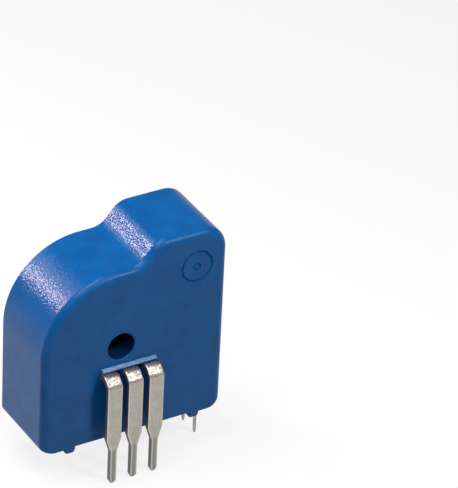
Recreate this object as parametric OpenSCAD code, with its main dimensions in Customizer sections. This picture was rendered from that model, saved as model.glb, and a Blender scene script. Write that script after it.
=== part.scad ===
// Closed-loop current sensor for a printed circuit board, sizes in millimetres.
// The origin is the centre of the six primary pins, on the board's surface.
// +X runs along the front face, +Y towards the open back of the housing, +Z up.

/* [Housing] */
// Width of the housing
body_w = 22.2; // [21.8:0.1:26]
// Depth of the housing, front face to open back
body_d = 9.5; // [9:0.1:12]
// Height of the tall top over the board
tall_top = 24.2; // [23.8:0.1:27]
// Height of the low top over the board
low_top = 21.6; // [21.3:0.1:22.4]
// Distance from the housing's middle to the middle primary bar
bar_offset = 0.77; // [0.4:0.01:1]
// Thickness of the side, top and bottom walls
wall = 0.6; // [0.4:0.05:0.7]
// Thickness of the front wall
front_wall = 0.8; // [0.6:0.05:1]
// Radius of the large round shoulder on the left
shoulder_r = 9; // [7:0.1:9.2]
// Radius of the corner at the top right
corner_r = 3; // [2:0.1:3.5]
// Radius of the two corners at the bottom
foot_r = 1.05; // [1:0.05:1.6]
// Radius of the fillet round the front face, which leaves its bottom edge sharp
edge_r = 0.9; // [0.4:0.05:1]
// Slope of the ramp between the two tops, in degrees
ramp_angle = 52; // [45:1:60]
// Radius of the bends at the ramp's foot and head
ramp_r = 2.5; // [1.5:0.1:2.8]
// Distance from the middle primary bar to the corner line of the ramp's foot
ramp_foot = 1.39; // [1:0.01:2]

/* [Seating rails] */
// Height of the rails, which stand the housing off the board
rail_h = 0.6; // [0.3:0.05:0.8]
// Depth of the shallow recess in the underside, between the rails
recess = 0.2; // [0.1:0.05:0.3]
// Width of a rail
rail_w = 1.5; // [1:0.05:1.6]
// Distance from each side of the housing to the middle of its rail
rail_inset = 3.4; // [2.6:0.1:4]
// Radius of a rail's edges and nose
rail_r = 0.4; // [0.1:0.05:0.5]
// Share of the wall that the rails' roots reach into
root_share = 0.9; // [0.5:0.05:0.95]

/* [Primary hole] */
// Radius of the hole for the primary conductor
hole_r = 1.6; // [1.2:0.05:1.7]
// Distance from the middle bar to the hole, to the left
hole_left = 0.9; // [0.5:0.01:1.3]
// Height of the hole's axis over the board
hole_z = 12.15; // [12.1:0.05:12.4]
// Wall of the tube round the hole
tube_wall = 0.75; // [0.5:0.05:0.8]

/* [Primary bars] */
// Number of primary bars
bar_count = 3; // [3:1:3]
// Distance from one bar or pin to the next
pitch = 2.54; // [2.5:0.01:2.6]
// Distance between the front and the back row of primary pins
row_pitch = 12.7; // [12.7:0.1:15]
// Width of a bar
bar_w = 1.83; // [1.5:0.01:2]
// Thickness of a bar
bar_t = 0.7; // [0.5:0.05:0.8]
// Height of a bar's upper face where it crosses the housing
bar_top = 9.5; // [9.3:0.05:9.6]
// Outer radius of a bar's bend
bend_r = 1.35; // [1.1:0.05:1.5]
// Height at which a leg starts to narrow
taper_top = 1.75; // [1.2:0.05:2.5]
// Height at which a leg has narrowed to its pin
taper_end = 0.15; // [0:0.05:0.3]
// Width of a primary pin
primary_pin_w = 0.8; // [0.6:0.05:1]
// Length of all the pins below the board's surface
pin_len = 4.1; // [3:0.1:5]
// Length of a pin's tapered tip
tip_len = 0.4; // [0.2:0.05:0.6]
// Share of the pin's section that is left at the end of its tip
tip_share = 0.5; // [0.3:0.05:0.8]

/* [Bar duct] */
// Clearance between the bars and the duct that they cross the housing in
bar_fit = 0.05; // [0.02:0.01:0.1]
// Wall at the duct's sides and floor
duct_wall = 0.65; // [0.5:0.05:0.7]
// Thickness of the duct's roof
duct_roof = 1; // [0.8:0.05:1.1]
// Width of the lip over the bars on the front face
lip_w = 6.7; // [6:0.1:7.4]
// Height of the lip
lip_h = 0.45; // [0.3:0.05:0.6]
// Distance that the lip stands out of the front face
lip_out = 0.45; // [0.3:0.05:0.6]
// Depth of the lip's root in the front wall
lip_root = 0.2; // [0.1:0.05:0.4]
// Bevel along the lip's upper edge and ends
lip_bevel = 0.3; // [0.1:0.05:0.35]

/* [Secondary pins] */
// Distance from the housing's right side to the row of secondary pins, four pitches from the middle bar
pin_inset = 1.71; // [1.6:0.01:1.9]
// Distance from the rows' middle line to the middle secondary pin
pin_back = 0.3; // [0.1:0.05:0.5]
// Width of a secondary pin, along its row
secondary_w = 0.5; // [0.4:0.05:0.6]
// Thickness of a secondary pin
secondary_t = 0.35; // [0.25:0.05:0.5]
// Height inside the housing that a secondary pin reaches
secondary_top = 4.4; // [3.5:0.1:5]
// Width of the slot in the housing's floor that the pins leave by
slot_w = 0.8; // [0.7:0.05:1]
// Distance from the front face to the slot
slot_front = 1.5; // [1.2:0.1:1.7]
// Depth of the resin below the housing's back rim
resin_depth = 0.25; // [0.1:0.05:0.4]

/* [Moulding mark] */
// Radius of the plain round mark in the front face
mark_r = 1.95; // [1:0.05:2.2]
// Width of its groove
mark_groove = 0.14; // [0.1:0.02:0.3]
// Depth of its groove
mark_depth = 0.06; // [0.03:0.01:0.15]
// Distance from the housing's right side to the mark's centre
mark_inset = 3.75; // [3.4:0.05:4.2]
// Distance from the tall top down to the mark's centre
mark_drop = 4.3; // [4:0.05:5]

/* [Magnetic core] */
// Width of the core's limbs
limb_w = 1.8; // [1.4:0.1:1.9]
// Thickness of the core's stack of sheets
stack_t = 3; // [2.4:0.1:3.2]
// Half the width of the core's window
window_half = 4.8; // [4.7:0.05:4.9]
// Height of the window's lower edge over the board
window_low = 7.4; // [7.2:0.05:7.5]
// Height of the window's upper edge over the board
window_high = 16.3; // [16.3:0.05:16.4]
// Radius of the core's outer corners
core_corner = 0.8; // [0.3:0.1:1.2]
// Height of the air gap
air_gap = 1.5; // [1.4:0.05:1.7]
// Height of the air gap's middle over the board
gap_z = 11.5; // [11.4:0.05:11.8]

/* [Coil] */
// Clearance between the bobbin and the core limb inside it
bobbin_fit = 0.1; // [0.05:0.01:0.15]
// Wall of the bobbin's tube
bobbin_wall = 0.4; // [0.3:0.05:0.45]
// Thickness of the bobbin's flanges
flange_t = 0.6; // [0.5:0.05:0.8]
// Distance that the flanges stand over the winding
flange_over = 0.12; // [0.1:0.02:0.14]
// Depth of the winding
winding_t = 0.83; // [0.6:0.01:0.84]
// Radii of the edges of the bobbin's tube, its flanges and the winding
tube_r = 0.3; // [0.1:0.05:0.4]
flange_r = 0.5; // [0.2:0.05:0.7]
winding_r = 0.8; // [0.4:0.05:0.9]
// Radius of the terminal posts
post_r = 0.22; // [0.2:0.01:0.24]
// Distance from the core's middle plane to each post
post_out = 2.6; // [2.55:0.05:2.65]
// Radius of the wire wound round the posts
wire_r = 0.09; // [0.07:0.01:0.1]
// Turns of wire on each post
wrap_turns = 3; // [2:1:4]

/* [Circuit board and its parts] */
// Thickness of the circuit board
board_t = 0.8; // [0.6:0.05:0.8]
// Distance from the housing's front face to the circuit board's front edge
board_front = 1.45; // [1.35:0.05:1.6]
// Distance from the circuit board's back edge to the housing's back rim
board_behind = 0.85; // [0.75:0.05:1]
// Distance from the housing's underside to the circuit board's lower edge
board_lift = 1.1; // [1:0.1:1.3]
// Distance from the tall top down to the circuit board's upper edge
board_drop = 2.8; // [2.4:0.1:3.5]
// Clearance between a lead and its hole in the board
hole_fit = 0.06; // [0.03:0.01:0.1]
// Distance that leads stand out of the board
lead_out = 0.45; // [0.3:0.05:0.5]
// Size of the Hall chip: length, width and thickness
chip_size = [2.9, 4.1, 1.1];
// Overlap of the Hall chip with the core's leg
chip_over = 0.4; // [0.2:0.1:0.6]
// Side of a Hall chip lead's section
chip_lead = 0.3; // [0.25:0.01:0.35]
// Distance from one Hall chip lead to the next
chip_lead_pitch = 1; // [0.9:0.05:1.1]
// Radius of the measuring resistor
resistor_r = 0.7; // [0.5:0.05:0.8]
// Length of the measuring resistor
resistor_l = 3.6; // [3:0.1:4]
// Height of the measuring resistor's middle
resistor_z = 5; // [4.8:0.1:5.3]
// Size of the amplifier: height over the board, width and length
amp_size = [1.4, 3.9, 4.9];
// Height of the amplifier's middle
amp_z = 14.4; // [14.2:0.1:14.5]
// Gap under the amplifier
amp_gap = 0.1; // [0.05:0.05:0.15]
// Distance from one amplifier lead to the next
amp_lead_pitch = 1.27; // [1.2:0.01:1.3]
// Width of an amplifier lead
amp_lead_w = 0.4; // [0.3:0.05:0.5]
// Thickness of an amplifier lead
amp_lead_t = 0.15; // [0.1:0.01:0.2]
// Distance that an amplifier lead stands out of the body, and the length of its foot
amp_lead_out = [0.35, 0.45];
// Size of a ceramic capacitor: height over the board, width and length
capacitor_size = [1, 1.3, 2];
// Distance from the board's middle line to each capacitor
capacitor_out = 2.4; // [2.3:0.05:2.5]
// Size of a chip resistor: height over the board, width and length
chip_resistor_size = [0.5, 0.8, 1.6];
// Distance from the board's middle line to each chip resistor
chip_resistor_out = 0.75; // [0.6:0.05:0.9]
// Height of the capacitors and chip resistors over the board's lower edge
small_parts_up = 6.7; // [6.5:0.1:7]
// Distance from the board's middle line to the measuring resistor
resistor_out = 1; // [0.5:0.1:1.5]
// Size of the solder beside a secondary pin
bead = 0.3; // [0.2:0.05:0.35]

/* [Hidden] */
arc_steps = 5;
fillet_steps = 5;
shoulder_steps = 16;

// Planes of the housing
body_left = bar_offset - body_w / 2;
body_right = bar_offset + body_w / 2;
front = -body_d / 2;
back = body_d / 2;
floor_z = rail_h;
hole_x = -hole_left;
ramp_head = ramp_foot + (tall_top - low_top) / tan(ramp_angle);
housing_corners = [[body_left, floor_z], [body_right, floor_z], [body_right, tall_top],
                   [ramp_head, tall_top], [ramp_foot, low_top], [body_left, low_top]];
housing_radii = [foot_r, foot_r, corner_r, ramp_r, ramp_r, shoulder_r];
housing_steps = [arc_steps, arc_steps, 8, arc_steps, arc_steps, shoulder_steps];
resin_face = back - resin_depth;

// Bars and the duct round them
bars_w = (bar_count - 1) * pitch + bar_w;
passage_w = bars_w + 2 * bar_fit;
passage_low = bar_top - bar_t - bar_fit;
passage_high = bar_top + bar_fit;
leg_out = row_pitch / 2 + bar_t / 2;
leg_in = row_pitch / 2 - bar_t / 2;

// Secondary pins and the board that stands against them
pin_x = body_right - pin_inset;
middle_y = pin_back;
board_back = pin_x - secondary_t / 2;
board_face = board_back - board_t;
board_y = [front + board_front, back - board_behind];
board_z = [floor_z + board_lift, tall_top - board_drop];
slot_y = front + slot_front;

// Core, bobbin and coil round the core's upper limb
core_half = window_half + limb_w;
core_low = window_low - limb_w;
core_high = window_high + limb_w;
gap_low = gap_z - air_gap / 2;
gap_high = gap_z + air_gap / 2;
limb_z = window_high + limb_w / 2;
tunnel_half = [stack_t / 2 + bobbin_fit, limb_w / 2 + bobbin_fit];
tube_half = tunnel_half + [bobbin_wall, bobbin_wall];
winding_half = tube_half + [winding_t, winding_t];
flange_half = winding_half + [flange_over, flange_over];
bobbin_half = window_half - bobbin_fit;
winding_end = bobbin_half - flange_t;

// Hall chip, which lies in the air gap on the lower half of the core
chip_x = window_half - chip_over;
chip_z = gap_low;
chip_end = chip_x + chip_size[0];
chip_lead_z = chip_z + chip_size[2] / 2;

// Terminal posts and the wire wound round them
post_root = winding_end + flange_t / 6;
wrap_pitch = 2.4 * wire_r;

// Heights of the small parts on the board
small_z = board_z[0] + small_parts_up;
solder_h = 0.7 * lead_out;
solder_radii = [1.8 * post_r, 1.1 * post_r];

// Distance that cutting shapes reach past what they cut
past = 1;

function unit(v) = v / norm(v);
function left_of(v) = [-v[1], v[0]];

// One rounded corner at b, between a and c, with its outline moved inwards by inset
function corner_arc(a, b, c, r, inset, steps) =
    let (u = unit(b - a),
         w = unit(c - b),
         side = u[0] * w[1] - u[1] * w[0] > 0 ? 1 : -1,
         sweep = acos(u * w),
         centre = b - u * r * tan(sweep / 2) + side * r * left_of(u),
         start = atan2(-side * left_of(u)[1], -side * left_of(u)[0]),
         q = r - side * inset)
    r == 0 ? [b] : [for (k = [0:steps])
        let (angle = start + side * sweep * k / steps)
        centre + q * [cos(angle), sin(angle)]];

// Closed outline through the given corners, each with its own radius
function rounded(corners, radii, inset, steps) =
    let (n = len(corners))
    [for (i = [0:n - 1])
        each corner_arc(corners[(i + n - 1) % n], corners[i], corners[(i + 1) % n],
                        radii[i], inset, steps[i])];

// Outline of the housing seen from the front, moved inwards by inset and its bottom line up by lift
function housing_outline(inset, lift) =
    let (n = len(housing_corners),
         low = floor_z + lift,
         left = [body_left + inset, low],
         right = [body_right - inset, low])
    [each corner_arc([left[0], low_top], left, right, foot_r - lift, 0, arc_steps),
     each corner_arc(left, right, [right[0], tall_top], foot_r - lift, 0, arc_steps),
     for (i = [2:n - 1])
         each corner_arc(housing_corners[i - 1], housing_corners[i], housing_corners[(i + 1) % n],
                         housing_radii[i], inset, housing_steps[i])];

// Rectangle about the origin with equal rounded corners
function rounded_box(half, r) =
    rounded([[-half[0], -half[1]], [half[0], -half[1]], half, [-half[0], half[1]]],
            [r, r, r, r], 0, [4, 4, 4, 4]);

// Outline of a pin along z, pointed at its lower end
function pointed(middle, w, high) =
    [[middle + w / 2 * tip_share, -pin_len], [middle + w / 2, tip_len - pin_len],
     [middle + w / 2, high], [middle - w / 2, high],
     [middle - w / 2, tip_len - pin_len], [middle - w / 2 * tip_share, -pin_len]];

// An outline drawn in x and z, given thickness from y0 to y1
module slab(y0, y1) {
    translate([0, y1, 0]) rotate([90, 0, 0]) linear_extrude(y1 - y0) children();
}

// An outline drawn in y and z, given length from x0 to x1
module along_x(x0, x1) {
    translate([x0, 0, 0]) rotate([90, 0, 90]) linear_extrude(x1 - x0) children();
}

// Solid form of the housing, with its fillet round the front face
module shell() {
    rings = [[back, 0], for (k = [0:fillet_steps])
        let (turn = 90 * k / fillet_steps)
        [front + edge_r * (1 - sin(turn)), edge_r * (1 - cos(turn))]];
    n = len(housing_outline(0, 0));
    last = (len(rings) - 1) * n;
    points = [for (ring = rings) for (p = housing_outline(ring[1], 0)) [p[0], ring[0], p[1]]];
    sides = [for (j = [0:len(rings) - 2]) for (i = [0:n - 1])
        let (next = (i + 1) % n)
        [(j + 1) * n + i, (j + 1) * n + next, j * n + next, j * n + i]];
    polyhedron(points, concat(sides, [[for (i = [0:n - 1]) i]],
                              [[for (i = [n - 1:-1:0]) last + i]]));
}

// Space inside the housing, from the front wall to y1
module cavity(y1) {
    slab(front + front_wall, y1) polygon(housing_outline(wall, wall));
}

// Tube round the hole and duct round the bars, as one outline
module tube_and_duct() {
    translate([hole_x, hole_z]) circle(r = hole_r + tube_wall, $fn = 72);
    translate([-passage_w / 2 - duct_wall, passage_low - duct_wall])
        square([passage_w + 2 * duct_wall, passage_high + duct_roof - passage_low + duct_wall]);
}

// Lip over the bars, bevelled along its upper edge and at its ends
module lip() {
    root = lip_root;
    intersection() {
        along_x(-lip_w / 2, lip_w / 2)
            polygon([[front + root, passage_high], [front + root, passage_high + lip_h],
                     [front - lip_out + lip_bevel, passage_high + lip_h],
                     [front - lip_out, passage_high + lip_h - lip_bevel],
                     [front - lip_out, passage_high]]);
        translate([0, 0, passage_high])
            linear_extrude(lip_h)
                polygon([[-lip_w / 2, front + root], [lip_w / 2, front + root],
                         [lip_w / 2, front - lip_out + lip_bevel],
                         [lip_w / 2 - lip_bevel, front - lip_out],
                         [lip_bevel - lip_w / 2, front - lip_out],
                         [-lip_w / 2, front - lip_out + lip_bevel]]);
    }
}

// One rail under the housing, rounded at its edges and nose
module rail(x) {
    root = floor_z + root_share * wall;
    intersection() {
        slab(front, back)
            polygon(rounded([[x - rail_w / 2, root], [x - rail_w / 2, 0],
                             [x + rail_w / 2, 0], [x + rail_w / 2, root]],
                            [0, rail_r, rail_r, 0], 0, [1, 4, 4, 1]));
        along_x(x - rail_w, x + rail_w)
            polygon(rounded([[front, root], [front, 0], [back, 0], [back, root]],
                            [0, rail_r, 0, 0], 0, [1, 4, 1, 1]));
    }
}

// Slot in the floor of the housing, open at the back
module pin_slot(low, y1) {
    translate([pin_x - slot_w / 2, slot_y, low])
        cube([slot_w, y1 - slot_y, floor_z + wall + wall / 10 - low]);
}

// Recess in the underside, from rail to rail
module underside_recess() {
    low_x = body_left + rail_inset;
    high_x = body_right - rail_inset;
    translate([low_x, front - past, floor_z - past])
        cube([high_x - low_x, body_d + 2 * past, recess + past]);
}

// Plain ring left by the mould in the front face
module mark() {
    slab(front - past, front + mark_depth)
        translate([body_right - mark_inset, tall_top - mark_drop])
            difference() {
                circle(r = mark_r, $fn = 72);
                circle(r = mark_r - mark_groove, $fn = 72);
            }
}

module housing() {
    color("#1f5fa8") difference() {
        union() {
            difference() {
                shell();
                cavity(back + past);
                underside_recess();
            }
            slab(front + front_wall / 2, back) tube_and_duct();
            lip();
            rail(body_left + rail_inset);
            rail(body_right - rail_inset);
        }
        slab(front - past, back + past)
            translate([hole_x, hole_z]) circle(r = hole_r, $fn = 72);
        slab(front - lip_out - past, back + past)
            translate([-passage_w / 2, passage_low])
                square([passage_w, passage_high - passage_low]);
        pin_slot(floor_z - past, back + past);
        mark();
    }
}

// Resin that fills the housing and the slot, with room for all that it holds
module potting_resin() {
    color("#423c40") difference() {
        union() {
            cavity(resin_face);
            pin_slot(floor_z, resin_face);
        }
        slab(front, back) tube_and_duct();
        core_lower();
        core_upper();
        bobbin_room();
        secondary_pin(-1);
        secondary_pin(0);
        secondary_pin(1);
        board_blank();
        hall_chip();
        hall_chip_leads();
        posts(post_root);
        wraps_room();
        amplifier_chip();
        amplifier_leads();
        measuring_resistor();
        ceramic_capacitors();
        chip_resistors();
        solder_joints();
    }
}

// Side view of a bar: a crossbar, two bends and two legs
module jumper_side() {
    bend_y = leg_out - bend_r;
    bend_z = bar_top - bend_r;
    translate([-bend_y, bar_top - bar_t]) square([2 * bend_y, bar_t]);
    for (side = [-1, 1]) {
        intersection() {
            translate([side * bend_y, bend_z])
                difference() {
                    circle(r = bend_r, $fn = 64);
                    circle(r = bend_r - bar_t, $fn = 64);
                }
            translate([side > 0 ? bend_y : -leg_out, bend_z]) square(bend_r);
        }
        polygon(pointed(side * row_pitch / 2, bar_t, bend_z));
    }
}

// Front view of a bar, which narrows to its pins
module jumper_front(x) {
    polygon([[x - bar_w / 2, taper_top], [x - primary_pin_w / 2, taper_end],
             [x - primary_pin_w / 2, tip_len - pin_len],
             [x - primary_pin_w / 2 * tip_share, -pin_len],
             [x + primary_pin_w / 2 * tip_share, -pin_len],
             [x + primary_pin_w / 2, tip_len - pin_len],
             [x + primary_pin_w / 2, taper_end], [x + bar_w / 2, taper_top],
             [x + bar_w / 2, bar_top], [x - bar_w / 2, bar_top]]);
}

module primary_bar(place) {
    x = place * pitch;
    color("#aaa89b") intersection() {
        along_x(x - bar_w / 2, x + bar_w / 2) jumper_side();
        slab(-leg_out, leg_out) jumper_front(x);
    }
}

module secondary_pin(place) {
    y = middle_y + place * pitch;
    color("#9a9a96") intersection() {
        slab(y - secondary_w / 2, y + secondary_w / 2)
            polygon(pointed(pin_x, secondary_t, secondary_top));
        along_x(pin_x - secondary_t / 2, pin_x + secondary_t / 2)
            polygon(pointed(y, secondary_w, secondary_top));
    }
}

// Lower half of the core: one leg, the lower limb and the leg below the air gap
module core_lower() {
    color("#6d7076") slab(middle_y - stack_t / 2, middle_y + stack_t / 2)
        polygon(rounded([[-core_half, core_low], [core_half, core_low], [core_half, gap_low],
                         [window_half, gap_low], [window_half, window_low],
                         [-window_half, window_low], [-window_half, window_high],
                         [-core_half, window_high]],
                        [core_corner, core_corner, 0, 0, 0, 0, 0, 0], 0,
                        [4, 4, 1, 1, 1, 1, 1, 1]));
}

// Upper half of the core: the limb inside the coil and the leg above the air gap
module core_upper() {
    color("#7d8087") slab(middle_y - stack_t / 2, middle_y + stack_t / 2)
        polygon(rounded([[-core_half, window_high], [window_half, window_high],
                         [window_half, gap_high], [core_half, gap_high],
                         [core_half, core_high], [-core_half, core_high]],
                        [0, 0, 0, 0, core_corner, core_corner], 0, [1, 1, 1, 1, 4, 4]));
}

// Outline of the bobbin's tunnel, tube, winding or flange, about the core's upper limb
module round_limb(half, r) {
    translate([middle_y, limb_z]) polygon(rounded_box(half, r));
}

module coil_bobbin() {
    color("#2b2b2b") difference() {
        union() {
            along_x(-bobbin_half, bobbin_half) round_limb(tube_half, tube_r);
            along_x(-bobbin_half, -winding_end) round_limb(flange_half, flange_r);
            along_x(winding_end, bobbin_half) round_limb(flange_half, flange_r);
        }
        along_x(-bobbin_half - past, bobbin_half + past)
            translate([middle_y, limb_z]) square(2 * tunnel_half, center = true);
        posts(post_root);
    }
}

module coil_winding() {
    color("#b06a32") difference() {
        along_x(-winding_end, winding_end) round_limb(winding_half, winding_r);
        along_x(-winding_end - past, winding_end + past) round_limb(tube_half, tube_r);
    }
}

// Room in the resin for the bobbin and its winding, open along the tunnel
module bobbin_room() {
    coil_bobbin();
    difference() {
        along_x(-winding_end, winding_end) round_limb(winding_half, winding_r);
        along_x(-winding_end - past, winding_end + past) round_limb(tube_half, tube_r);
    }
}

// Room in the resin for the wire on the posts
module wraps_room() {
    for (side = [-1, 1])
        translate([bobbin_half, middle_y + side * post_out, limb_z])
            rotate([0, 90, 0])
                cylinder(h = wrap_pitch * wrap_turns, r = post_r + 2 * wire_r, $fn = 32);
}

// Two straight posts from the flange through the circuit board
module posts(x0, r = post_r) {
    for (side = [-1, 1])
        translate([x0, middle_y + side * post_out, limb_z])
            rotate([0, 90, 0]) cylinder(h = board_back + lead_out - x0, r = r, $fn = 32);
}

module bobbin_posts() {
    color("#b9b7ae") posts(post_root);
}

// Ends of the coil's wire, wound round the posts beside the flange
module post_wraps() {
    color("#b06a32")
        for (side = [-1, 1])
            for (turn = [0:wrap_turns - 1])
                translate([bobbin_half + wire_r + wrap_pitch * turn,
                           middle_y + side * post_out, limb_z])
                    rotate([0, 90, 0]) rotate_extrude($fn = 24)
                        translate([post_r + wire_r, 0]) circle(r = wire_r, $fn = 16);
}

// Box given by its lowest corner in x, its middles in y and z, and its size
module part_box(x, y, z, size) {
    translate([x, y - size[1] / 2, z - size[2] / 2]) cube(size);
}

// Heights and places of what the board carries
function chip_lead_y(i) = middle_y + (i - 1.5) * chip_lead_pitch;
function post_y(side) = middle_y + side * post_out;

module hall_chip() {
    color("#26262a")
        part_box(chip_x, middle_y, chip_lead_z, chip_size);
}

// Four straight leads from the chip through the board
module hall_chip_leads() {
    color("#c4c4c4")
        for (i = [0:3])
            part_box(chip_end, chip_lead_y(i), chip_lead_z,
                     [board_back + lead_out - chip_end, chip_lead, chip_lead]);
}

// The board's plain slab
module board_blank() {
    translate([board_face, board_y[0], board_z[0]])
        cube([board_t, board_y[1] - board_y[0], board_z[1] - board_z[0]]);
}

module circuit_board() {
    color("#2e6b45") difference() {
        board_blank();
        posts(board_face - past, post_r + hole_fit);
        for (i = [0:3])
            translate([board_face - past, chip_lead_y(i), chip_lead_z])
                rotate([0, 90, 0])
                    cylinder(h = board_t + 2 * past, r = chip_lead / sqrt(2) + hole_fit, $fn = 32);
    }
}

// Amplifier that drives the coil, just clear of the board
module amplifier_chip() {
    color("#1f1f22")
        part_box(board_face - amp_gap - amp_size[0], middle_y, amp_z, amp_size);
}

// One side's lead, drawn in x and y from the chip's side to its foot on the board
module amplifier_lead() {
    out = amp_lead_out[0];
    toe = out + amp_lead_out[1];
    mid = board_face - amp_gap - amp_size[0] / 2;
    polygon([[mid, 0], [mid, out], [board_face - amp_lead_t, out], [board_face - amp_lead_t, toe],
             [board_face, toe], [board_face, out - amp_lead_t], [mid + amp_lead_t, out - amp_lead_t],
             [mid + amp_lead_t, 0]]);
}

module amplifier_leads() {
    color("#c4c4c4")
        for (i = [0:3]) {
            low = amp_z + (i - 1.5) * amp_lead_pitch - amp_lead_w / 2;
            translate([0, middle_y + amp_size[1] / 2, low])
                linear_extrude(amp_lead_w) amplifier_lead();
            translate([0, middle_y - amp_size[1] / 2, low])
                linear_extrude(amp_lead_w) mirror([0, 1]) amplifier_lead();
        }
}

// Cylindrical resistor that turns the coil's current into the output voltage
module measuring_resistor() {
    color("#7a4a36")
        translate([board_face - resistor_r, middle_y - resistor_out, resistor_z - resistor_l / 2])
            cylinder(h = resistor_l, r = resistor_r, $fn = 48);
}

module ceramic_capacitors() {
    color("#c8a878")
        for (side = [-1, 1])
            part_box(board_face - capacitor_size[0], middle_y + side * capacitor_out, small_z,
                     capacitor_size);
}

module chip_resistors() {
    color("#2f2f33")
        for (side = [-1, 1])
            part_box(board_face - chip_resistor_size[0], middle_y + side * chip_resistor_out, small_z,
                     chip_resistor_size);
}

// Cone of solder on the back of the board, round a lead that it leaves room for
module solder_cone(y, z) {
    translate([board_back, y, z]) rotate([0, 90, 0])
        cylinder(h = solder_h, r1 = solder_radii[0], r2 = solder_radii[1], $fn = 32);
}

// Solder on the posts and leads, and beside each secondary pin
module solder_joints() {
    color("#b8b8b4") {
        difference() {
            for (side = [-1, 1]) solder_cone(post_y(side), limb_z);
            posts(board_face);
        }
        difference() {
            for (i = [0:3]) solder_cone(chip_lead_y(i), chip_lead_z);
            hall_chip_leads();
        }
        for (place = [-1:1])
            for (side = [-1, 1])
                translate([board_back, middle_y + place * pitch + side * secondary_w / 2,
                           board_z[0] + bead])
                    linear_extrude(secondary_top - board_z[0] - 2 * bead)
                        polygon(side > 0 ? [[0, 0], [bead, 0], [0, bead]]
                                         : [[0, -bead], [bead, 0], [0, 0]]);
    }
}

housing();
potting_resin();
primary_bar(-1);  // primary_bar_left
primary_bar(0);  // primary_bar_middle
primary_bar(1);  // primary_bar_right
secondary_pin(-1);  // output_pin
secondary_pin(0);  // ground_pin
secondary_pin(1);  // supply_pin
core_lower();
core_upper();
coil_bobbin();
coil_winding();
bobbin_posts();
post_wraps();
hall_chip();
hall_chip_leads();
circuit_board();
amplifier_chip();
amplifier_leads();
measuring_resistor();
ceramic_capacitors();
chip_resistors();
solder_joints();
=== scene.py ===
import math

import bmesh
import bpy
import numpy as np
from mathutils import Matrix, Vector, noise
from mathutils.geometry import delaunay_2d_cdt


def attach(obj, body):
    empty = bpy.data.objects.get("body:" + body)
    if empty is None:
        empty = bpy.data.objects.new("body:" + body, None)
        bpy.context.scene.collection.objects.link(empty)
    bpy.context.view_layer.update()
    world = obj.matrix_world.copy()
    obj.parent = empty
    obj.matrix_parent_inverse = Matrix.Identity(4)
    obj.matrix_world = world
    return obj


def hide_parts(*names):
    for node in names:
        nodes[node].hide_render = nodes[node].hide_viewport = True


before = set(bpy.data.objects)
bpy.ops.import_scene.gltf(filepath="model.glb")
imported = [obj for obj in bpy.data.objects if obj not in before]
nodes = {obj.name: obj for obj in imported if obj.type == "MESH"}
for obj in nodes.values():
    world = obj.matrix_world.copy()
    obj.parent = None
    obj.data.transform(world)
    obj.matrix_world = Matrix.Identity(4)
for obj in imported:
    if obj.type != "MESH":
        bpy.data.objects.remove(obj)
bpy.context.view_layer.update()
scene = bpy.context.scene
mm = 0.001
print("frame loaded:", len(nodes), "nodes")


# small helpers for meshes
def newObject(name, mesh):
    item = bpy.data.objects.new(name, mesh)
    scene.collection.objects.link(item)
    return item


def meshFrom(name, points, faces, unit=mm):
    # points in millimetres, in the part's own frame
    mesh = bpy.data.meshes.new(name)
    mesh.from_pydata([tuple(c * unit for c in p) for p in points], [], faces)
    mesh.update()
    return mesh


def bake(item):
    # the evaluated object as a plain mesh, with its modifiers gone
    bpy.context.view_layer.update()
    graph = bpy.context.evaluated_depsgraph_get()
    mesh = bpy.data.meshes.new_from_object(item.evaluated_get(graph))
    item.modifiers.clear()
    item.data = mesh
    return item


def outwards(item):
    # merges doubles and turns every face outwards
    work = bmesh.new()
    work.from_mesh(item.data)
    bmesh.ops.remove_doubles(work, verts=work.verts, dist=1e-7)
    bmesh.ops.recalc_face_normals(work, faces=work.faces)
    work.to_mesh(item.data)
    work.free()
    return item


def smoothShade(item, angle):
    # smooth faces, with edges sharper than the angle kept crisp
    work = bmesh.new()
    work.from_mesh(item.data)
    for face in work.faces:
        face.smooth = True
    for edge in work.edges:
        edge.smooth = len(edge.link_faces) == 2 and edge.calc_face_angle(0) < math.radians(angle)
    work.to_mesh(item.data)
    work.free()
    return item


def evenNormals(item):
    # wide faces keep their own normals, so that the rounding beside them shades softly
    flatten = item.modifiers.new("flatten", "WEIGHTED_NORMAL")
    flatten.keep_sharp = True
    flatten.weight = 100
    return bake(item)


def finishPiece(item, look, slot, *stands):
    item.data.materials.clear()
    item.data.materials.append(look)
    for face in item.data.polygons:
        face.material_index = 0
    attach(item, "root")
    if stands:
        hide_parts(*stands)
    print("piece:", item.name, len(item.data.polygons), "faces")


# shader maths: a socket with operators, and one call for every other node
class Signal:
    def __init__(self, paint, socket):
        self.paint = paint
        self.socket = socket

    def calc(self, kind, first, second):
        return self.paint.node("Math", {"operation": kind}, {0: first, 1: second})

    def __add__(self, other):
        return self.calc("ADD", self, other)

    def __radd__(self, other):
        return self.calc("ADD", other, self)

    def __sub__(self, other):
        return self.calc("SUBTRACT", self, other)

    def __rsub__(self, other):
        return self.calc("SUBTRACT", other, self)

    def __mul__(self, other):
        return self.calc("MULTIPLY", self, other)

    def __rmul__(self, other):
        return self.calc("MULTIPLY", other, self)


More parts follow.
